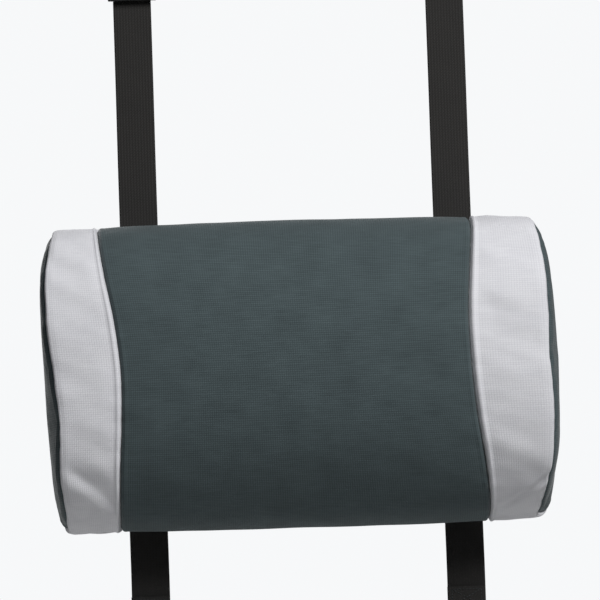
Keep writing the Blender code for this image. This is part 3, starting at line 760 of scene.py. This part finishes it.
def make_front():
    """The wide slate panel and a light band each side of it, each a sleeve from the upper back
    seam over the front to the lower back seam."""
    rows = spread(-CORNER_ROWS, CHAIN + CORNER_ROWS, 0.42, 0.2, 1.2)
    x = spread(-SEAM_X + PANEL_GAP, SEAM_X - PANEL_GAP, 2.1 * MM, 0.5 * MM, 7 * MM)
    centre = cloth_patch("centre_panel", SLATE, rows, columns_at(x))
    finished(centre, "cushion", "slate_fabric", "cover_centre_panel")
    for side, sign in SIDES.items():
        x = spread(SEAM_X + PANEL_GAP, HALF_WIDTH - END_SEAM - PANEL_GAP, 1.6 * MM, 0.5 * MM, 7 * MM)
        band = cloth_patch(f"band_{side}", PALE, rows, columns_at(np.sort(sign * x)))
        finished(band, "cushion", "light_grey_fabric", f"cover_band_{side}")


def make_ends():
    """A slate panel at each end: every row runs in from the end seam to the middle line."""
    rows = np.arange(0, ROWS, 0.5)
    for side, sign in SIDES.items():
        seam = columns_at(HALF_WIDTH - END_SEAM + PANEL_GAP)
        columns = seam + (COLUMNS - 1 - seam) * np.linspace(0, 1, 34) ** 1.6
        columns = COLUMNS - 1 - columns[::-1] if sign < 0 else columns
        points = cover_points(rows, columns)
        rows_at, at = quads(len(rows), len(columns), round_rows=True)
        faces = rows_at % len(rows) * len(columns) + at
        points = points.reshape(-1, 3)
        # UVs lie flat on the end: depth across, and height along.
        made = mesh_object(f"end_{side}", points, faces, points[faces][:, :, 1:], SLATE)
        walled(merged(made), CLOTH)
        finished(made, "cushion", "slate_fabric", f"cover_end_{side}")


ZIP_HALF = corner("zip_stop_right", 1, "x")
ZIP_LIP = corner("zip_slider", 1, "z") + 0.3 * MM


def make_back():
    """Two flat back panels that meet at the middle, with folded lips that part for the zip."""
    side_edge = HALF_WIDTH - END_SEAM - PANEL_GAP
    x = spread(-side_edge, side_edge, 2 * MM, 0.5 * MM, 6 * MM)
    opening = 1 - ease(np.abs(x), ZIP_HALF + 0.5 * MM, ZIP_HALF + 5 * MM)
    edge = PANEL_GAP + (ZIP_LIP - PANEL_GAP) * opening
    for level, sign in LEVELS.items():
        seam, middle = CHAIN + CORNER_ROWS, 1.5 * CHAIN
        rows = seam + (middle - seam) * (1 - np.linspace(1, 0, 60) ** 1.25)
        rows = rows if sign < 0 else (ROWS + CHAIN - rows)[::-1]
        points = cover_points(rows, columns_at(x))
        height = np.abs(points[:, :, 2])
        top = height.max(axis=0)
        height = edge + np.clip(height / top, 0, 1) * (top - edge)
        points[:, :, 2] = sign * height
        from_lip = height - edge
        fold = 0.55 * ease(from_lip, 5.5 * MM, 6.5 * MM) + 0.25 * hump(from_lip - 3 * MM, 0.8 * MM)
        fold = fold + 0.5 * hump(from_lip, 0.5 * MM)
        away = ease(from_lip, 8 * MM, 20 * MM)
        crumple = wander(x / (24 * MM), height / (17 * MM), 41 + sign) - 1
        points[:, :, 1] += (0.45 * crumple * away - fold) * MM
        made = grid_object(f"back_{level}", points, x, -arc_length(rows), SLATE)
        finished(walled(made, CLOTH), "cushion", "slate_fabric", f"cover_back_{level}")


def make_filling():
    """The foam block and the spunbond bag round it, which follow the cover's inside. The bag is
    left open at its right-hand end."""
    rows = np.arange(0, ROWS, 1.0)
    columns = spread(0, COLUMNS - 1, 0.8, 0.5, 6)
    for name, node, material, sunk, slot in (
        ("foam_block", "foam_core", FOAM, FOAM_DEPTH, "foam"),
        ("spunbond_bag", "inner_liner", SPUNBOND, BAG_DEPTH, "liner"),
    ):
        bag = name == "spunbond_bag"
        if bag:
            columns = columns[columns < COLUMNS - END_RINGS]
        points = cover_points(rows, columns, sunk)
        points[:, :, 1] = np.minimum(points[:, :, 1], LINER_Y - BAG_SLACK - (sunk - BAG_DEPTH))
        along = arc_length(np.append(rows, ROWS))
        made = merged(grid_object(name, points, straight_x(columns), along, material, round_rows=True))
        if bag:
            walled(made, 0.6 * MM)
        finished(made, "cushion", slot, node)


# Webbing

ARC_STEPS = 7
SELVEDGE = 0.8 * MM
RIB_DEPTH = 0.13 * MM


def rounded(points):
    """A (y, z) path through (y, z, radius) corners, with an arc at each inner corner."""
    path = [Vector(points[0][:2])]
    for before, turn, after in zip(points, points[1:], points[2:]):
        middle = Vector(turn[:2])
        back = (Vector(before[:2]) - middle).normalized()
        ahead = (Vector(after[:2]) - middle).normalized()
        half = back.angle(ahead) / 2
        reach = turn[2] / math.tan(half)
        centre = middle + (back + ahead).normalized() * turn[2] / math.sin(half)
        start = (middle + back * reach - centre).normalized()
        end = (middle + ahead * reach - centre).normalized()
        for step in range(ARC_STEPS + 1):
            spot = centre + start.slerp(end, step / ARC_STEPS) * turn[2]
            if (spot - path[-1]).length > 0.03 * MM:
                path.append(spot)
    path.append(Vector(points[-1][:2]))
    return np.array([tuple(spot) for spot in path])


def filled_in(path, step):
    """The path with further points along its long straight stretches."""
    lengths = np.linalg.norm(np.diff(path, axis=0), axis=1)
    parts = np.maximum(1, np.round(lengths / step).astype(int))
    spots = np.concatenate([np.arange(n) / n + k for k, n in enumerate(parts)] + [[len(path) - 1]])
    index = np.arange(len(path))
    return np.stack([np.interp(spots, index, part) for part in path.T], axis=1)


def webbing(name, path, side, width, thickness, ribs, material, wave=0.0):
    """A woven strip along a path of 3-D points: its section is a flat loop with lengthwise ribs
    on both faces and a round selvedge on both edges. side is the way its width runs."""
    side = np.array(side, float)
    u = np.linspace(-1, 1, ribs * 4 + 1)
    u = np.sign(u) * np.abs(u) ** 0.94
    edge = (np.abs(u) * width / 2 - width / 2 + SELVEDGE).clip(0) / SELVEDGE
    selvedge = np.sqrt(np.clip(1 - edge**2, 0, 1))
    rib = RIB_DEPTH * (1 - np.abs(np.sin(math.pi * ribs * (u + 1) / 2)))
    rise = (thickness / 2 - rib) * np.maximum(selvedge, 0.06)
    across = np.concatenate([u, u[::-1]]) * width / 2
    up = np.concatenate([rise, -rise[::-1]])
    tangent = unit(np.gradient(path, axis=0))
    normal = np.cross(side, tangent)
    along = np.concatenate([[0], np.cumsum(np.linalg.norm(np.diff(path, axis=0), axis=1))])
    drift = wave * wander(along / (70 * MM), 0 * along, 3)
    points = path[:, None] + normal[:, None] * up[:, None]
    points = points + side * (across + drift[:, None])[:, :, None]
    count = len(across)
    rows_at, at = quads(len(path), count, round_columns=True)
    faces = rows_at * count + at % count
    wide = np.append(across, across[0])
    uv = np.stack([wide[at], along[rows_at]], axis=2)
    half = count // 2
    near = np.arange(half - 1)
    cap = np.stack([near, near + 1, count - 2 - near, count - 1 - near], axis=1)
    cap_uv = np.stack([across[cap], up[cap]], axis=2)
    far = (len(path) - 1) * count + cap[:, ::-1]
    faces = np.concatenate([faces, cap, far])
    uv = np.concatenate([uv, cap_uv, cap_uv[:, ::-1]])
    return outward_facing(mesh_object(name, points, faces, uv, material))


def outward_facing(obj):
    """Turns every face of a closed mesh to point out."""
    work = bmesh.new()
    work.from_mesh(obj.data)
    bmesh.ops.recalc_face_normals(work, faces=work.faces)
    work.to_mesh(obj.data)
    work.free()
    return obj


STRAP_WIDTH = corner("strap_right", 1, "x") - corner("strap_right", 0, "x")
STRAP_THICK = 1.4 * MM
STRAP_RIBS = 13
BAR_RADIUS = 1.8 * MM
# Where the strap's two layers run, behind the cushion: middle lines, in millimetres along Y.
OUTER_RUN, INNER_RUN = -3.9, -2.2
MALE_Z = corner("buckle_male_left", 0, "z") + BAR_RADIUS
FEMALE_Z = corner("buckle_female_left", 1, "z") - BAR_RADIUS


def strap_line():
    """The strap's middle line: sewn loop at the socket, up behind the cushion, over the
    tri-glide's middle bar, round the plug's bar, and back to its sewn end on the tri-glide."""
    outer, inner = OUTER_RUN, INNER_RUN
    low = [(outer, 24, 0), (outer, 8.3, 3), (-7.8, 3.3, 3), (-7.8, -2.8, 2.8), (inner, -2.8, 2.8)]
    over = [(inner, -9.1, 1.35), (-10.2, -3.1, 1.35), (-10.2, 4.0, 1.35), (outer, 7.4, 1.35)]
    high = [(outer, -8.3, 3), (-7.8, -3.3, 3), (-7.8, 2.8, 2.8), (inner, 2.8, 2.8)]
    sewn = [(inner, 4.3, 3), (outer, 1.2, 3), (outer, -2.6, 1.35), (-8.5, -2.6, 1.35)]
    sewn += [(-8.5, 2.6, 1.35), (-5.5, 2.6, 0)]
    route = []
    for part, level in ((low, FEMALE_Z), (over, GLIDE_Z), (high, MALE_Z), (sewn, GLIDE_Z)):
        route += [(y * MM, level + z * MM, bend * MM) for y, z, bend in part]
    return filled_in(rounded(route), 5 * MM)


def make_straps():
    """The two straps."""
    line = strap_line()
    for side, sign in SIDES.items():
        path = np.column_stack([np.full(len(line), sign * STRAP_X), line])
        name = f"webbing_strap_{side}"
        strap = webbing(name, path, (1, 0, 0), STRAP_WIDTH, STRAP_THICK, STRAP_RIBS, ELASTIC, 0.2 * MM)
        finished(strap, "straps", "elastic", f"strap_{side}")


KEEPER_THICK = 1.2 * MM
KEEPER_FOOT = 6 * MM
KEEPER_STEP = 2.5 * MM


def make_keepers():
    """Four flat loops of webbing sewn to the back by their feet."""
    low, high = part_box("keeper_upper_right")
    thickness = KEEPER_THICK
    end = (high.x - low.x) / 2
    foot = end - KEEPER_FOOT
    web = foot - KEEPER_STEP
    lay = low.y + thickness / 2
    crown = high.y - thickness / 2
    route = [(-end, lay, 0), (-foot, lay, 1.6 * MM), (-web, crown, 1.6 * MM)]
    route += [(-x, y, bend) for x, y, bend in route[::-1]]
    line = filled_in(rounded(route), 1.5 * MM)
    tacks = []
    for level, up in LEVELS.items():
        for side, sign in SIDES.items():
            name = f"keeper_{level}_{side}"
            centre = sum(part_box(name), Vector()) / 2
            path = np.column_stack([centre.x + line[:, 0], line[:, 1], np.full(len(line), centre.z)])
            made = webbing(f"webbing_{name}", path, (0, 0, 1), high.z - low.z, thickness, 10, WEBBING)
            finished(made, "cushion", "webbing", name)
            near, far = foot + 1.2 * MM, end - 1.2 * MM
            reach = (high.z - low.z) / 2 - 1.6 * MM
            for hand in SIDES.values():
                place = (centre.x + hand * (near + far) / 2, lay + thickness / 2, centre.z)
                tacks += crossed_box(place, (far - near) / 2, reach, 2.1 * MM)
    made = stitches("keeper_stitching", np.concatenate(tacks), 1, 0.24 * MM)
    finished(made, "cushion", "webbing")


# Stitches

# A thread or a wire is a tube with six sides, so each of its ends takes two faces.
TUBE_SIDES = 6
TUBE_CAP = np.array([[0, 1, 2, 3], [3, 4, 5, 0]])


def tube_faces(rings):
    """The faces of a tube with that many rings, closed at both ends."""
    rows_at, at = quads(rings, TUBE_SIDES, round_columns=True)
    faces = rows_at * TUBE_SIDES + at % TUBE_SIDES
    return np.concatenate([faces, TUBE_CAP, (rings - 1) * TUBE_SIDES + TUBE_CAP[:, ::-1]])


def stitched(corners, pitch):
    """Start and end points of stitches along a line with corners, about a pitch apart."""
    pairs = []
    for start, end in zip(corners, corners[1:]):
        count = max(1, round(np.linalg.norm(end - start) / pitch))
        share = np.arange(count)[:, None] / count
        first = start + (end - start) * (share + 0.12 / count)
        last = start + (end - start) * (share + 0.88 / count)
        pairs.append(np.stack([first, last], axis=1))
    return np.concatenate(pairs)


def crossed_box(place, across, up, pitch):
    """Stitches along an upright box with a cross in it, given its middle and half sizes."""
    corners = np.array([(-1, -1), (1, -1), (1, 1), (-1, 1), (-1, -1)])
    corners = np.column_stack([corners[:, 0] * across, 0 * corners[:, 0], corners[:, 1] * up]) + place
    # The cross stops short of the box's corners.
    inner = corners * 0.88 + np.array(place) * 0.12
    return [stitched(line, pitch) for line in (corners, inner[[0, 2]], inner[[1, 3]])]


def stitches(name, pairs, facing, radius, rise=0.55):
    """Short threads from start to end, on cloth that faces +Y (1) or -Y (-1): each is a tube that
    thins to its ends and arches up in between."""
    rings = 5
    share = np.linspace(0, 1, rings)
    arch = np.sin(math.pi * share)
    turn = np.linspace(0, 2 * math.pi, TUBE_SIDES, endpoint=False)
    up = np.array((0.0, facing, 0.0))
    start = pairs[:, 0]
    ahead = pairs[:, 1] - start
    beside = unit(np.cross(ahead, up))
    girth = (radius * (0.35 + 0.65 * arch))[:, None, None]
    centre = start[:, None] + ahead[:, None] * share[:, None] + up * (arch * radius * rise * 1.6)[:, None]
    ring = beside[:, None, None] * np.cos(turn)[:, None] * girth + up * np.sin(turn)[:, None] * girth
    points = centre[:, :, None] + ring
    shift = np.arange(len(pairs))[:, None, None] * TUBE_SIDES * rings
    faces = (tube_faces(rings)[None, :, ::-1] + shift).reshape(-1, 4)
    uv = np.zeros((len(faces), 4, 2))
    return outward_facing(mesh_object(name, points, faces, uv, THREAD))


def make_strap_tacks():
    """A sewn box with a cross where each strap's lower end is folded back on itself."""
    for side, sign in SIDES.items():
        faces = []
        for facing, run in ((-1, OUTER_RUN), (1, INNER_RUN)):
            place = (sign * STRAP_X, run * MM + facing * STRAP_THICK / 2, FEMALE_Z + 16.5 * MM)
            pairs = np.concatenate(crossed_box(place, 10 * MM, 5.5 * MM, 2.2 * MM))
            faces.append(stitches("tack_face", pairs, facing, 0.26 * MM))
        finished(joined(f"strap_tack_{side}", faces), "straps", "elastic")


# Zip

COIL_PITCH = 1.3 * MM
WIRE = 0.34 * MM
COIL_HEAD = 0.45 * MM
SEWN_BEYOND = 6 * MM
SEWN_FROM_LIP = 3 * MM


def make_zip():
    """Woven tapes, two rows of nylon coil, and the stitching that holds the zip in the back."""
    coil_low, coil_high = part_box("zip_coil_upper")
    chain_half = coil_high.x
    pitch, wire, head = COIL_PITCH, WIRE, COIL_HEAD
    for level, sign in LEVELS.items():
        low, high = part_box(f"zip_tape_{level}")
        x = np.linspace(low.x, high.x, 93)
        far = max(abs(low.z), abs(high.z))
        # The tape dips under the coil and stops short of the slider's post.
        spots = [np.linspace(0.43, 2.66, 6), np.linspace(2.7, 2.78, 6), np.linspace(2.9, far / MM, 18)]
        across = np.concatenate(spots) * MM
        dip = (coil_low.y - 0.05 * MM - high.y) * (1 - ease(across, 2.69 * MM, 2.79 * MM))
        ridge = 0.1 * MM * (hump(across - 3.6 * MM, 0.4 * MM) - 1) * ease(across, 3 * MM, 3.2 * MM)
        points = np.empty((len(across), len(x), 3))
        points[:, :, 0] = x
        points[:, :, 1] = high.y + (dip + ridge)[:, None]
        points[:, :, 2] = sign * across[:, None]
        points = points if sign < 0 else points[::-1]
        along = across if sign < 0 else across[::-1]
        tape = backward_facing(grid_object(f"woven_tape_{level}", points[::-1], x, along[::-1], TAPE))
        finished(walled(tape, 0.2 * MM), "cushion", "zip_tape", f"zip_tape_{level}")
        # Each turn of the coil is an oval as deep as the CAD row. Its heads stop short of the
        # middle, where the slider's post passes.
        turns = round(2 * chain_half / pitch) - 1
        angle = np.linspace(0, 2 * math.pi * turns, turns * 14 + 1)
        reach = (coil_high.z - head) / 2 - wire
        deep = (coil_high.y - coil_low.y) / 2 - wire
        bulge = 1 + 0.12 * np.cos(2 * angle)
        path = np.stack(
            [
                -chain_half + wire + pitch / 4 * (1 + sign) + angle / (2 * math.pi) * pitch,
                (coil_high.y + coil_low.y) / 2 + deep * np.cos(angle) * bulge / 1.12,
                sign * ((coil_high.z + head) / 2 + reach * np.sin(angle)),
            ],
            axis=1,
        )
        path = path[path[:, 0] < chain_half - wire]
        coil = tube(f"coil_row_{level}", path, wire, COIL)
        finished(coil, "cushion", "zip_coil", f"zip_coil_{level}")
    end, lip = ZIP_HALF + SEWN_BEYOND, ZIP_LIP + SEWN_FROM_LIP
    rows = [np.array([(-end, 0, sign * lip), (end, 0, sign * lip)]) for sign in (-1, 1)]
    rows += [np.array([(sign * end, 0, -lip), (sign * end, 0, lip)]) for sign in (-1, 1)]
    pairs = np.concatenate([stitched(row, 3.1 * MM) for row in rows])
    pairs[:, :, 1] = BACK_Y - 0.3 * MM
    made = stitches("zip_topstitching", pairs, 1, 0.26 * MM, rise=0.3)
    finished(made, "cushion", "slate_fabric")


def backward_facing(obj):
    """Turns a sheet's faces to look along +Y."""
    if sum(face.normal.y * face.area for face in obj.data.polygons) < 0:
        obj.data.flip_normals()
    return obj


def tube(name, path, radius, material):
    """A round wire along a path, closed at both ends."""
    tangent = unit(np.gradient(path, axis=0))
    first = unit(np.cross(tangent, (1.0, 0.15, 0.1)))
    second = np.cross(tangent, first)
    turn = np.linspace(0, 2 * math.pi, TUBE_SIDES, endpoint=False)
    ring = first[:, None] * np.cos(turn)[:, None] + second[:, None] * np.sin(turn)[:, None]
    points = path[:, None] + ring * radius
    faces = tube_faces(len(path))
    uv = np.zeros((len(faces), 4, 2))
    return outward_facing(mesh_object(name, points, faces, uv, material))


# Buckles, tri-glides and the zip's metal stay CAD nodes, with eased edges.


def dressed(node, material, bevel):
    """A CAD node with its own finish, its loose triangles welded and its edges eased."""
    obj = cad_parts[node]
    obj.data.materials.clear()
    obj.data.materials.append(material)
    weld = obj.modifiers.new("weld", "WELD")
    weld.merge_threshold = 0.00001
    edges = obj.modifiers.new("edges", "BEVEL")
    edges.width = bevel
    edges.segments = 2
    edges.limit_method = "ANGLE"
    edges.angle_limit = math.radians(40)
    obj.data.shade_smooth()


def make_hardware():
    """Finishes for every CAD node that stays."""
    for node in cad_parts:
        if node.startswith(("buckle", "tri_glide")):
            dressed(node, ACETAL, 0.25 * MM)
        elif node in ("zip_slider", "zip_pull") or node.startswith("zip_stop"):
            dressed(node, ZINC, 0.15 * MM)


make_stage()
FORM = flat_form()
FORM = stuffed(FORM)

# Real threads are about 0.5 mm. They are drawn three times as coarse, so that the weave shows.
# The fifth number is how much painted shade darkens the gaps between threads.
SLATE = woven_cloth("woven_slate_polyester", "#2d3638", "#59676a", 1.5 * MM, 0.45, 0.2, 0.35)
PALE = woven_cloth("woven_light_grey_polyester", "#cdcdd3", "#efeff2", 1.5 * MM, 0.35, 0.15, 0.3)
ELASTIC = webbing_finish("black_elastic_webbing", "#131211", "#2a2826", 1.1 * MM)
WEBBING = webbing_finish("black_polyester_webbing", "#111112", "#2b2b2c", 0.9 * MM)
TAPE = webbing_finish("black_twill_zip_tape", "#141516", "#303133", 0.6 * MM)
THREAD = thread_finish()
COIL = smooth_finish("black_nylon_coil", "#17181a", 0.42, 0.0, 400.0, 0.1, 0.02 * MM)
ACETAL = smooth_finish("black_moulded_acetal", "#151617", 0.45, 0.0, 2600.0, 0.18, 0.03 * MM)
ZINC = smooth_finish("black_lacquered_zinc", "#1c1c1e", 0.3, 0.75, 900.0, 0.2, 0.01 * MM)
SPUNBOND = spunbond_finish()
FOAM = foam_finish()

make_front()
make_ends()
make_back()
make_filling()
make_straps()
make_keepers()
make_strap_tacks()
make_zip()
make_hardware()
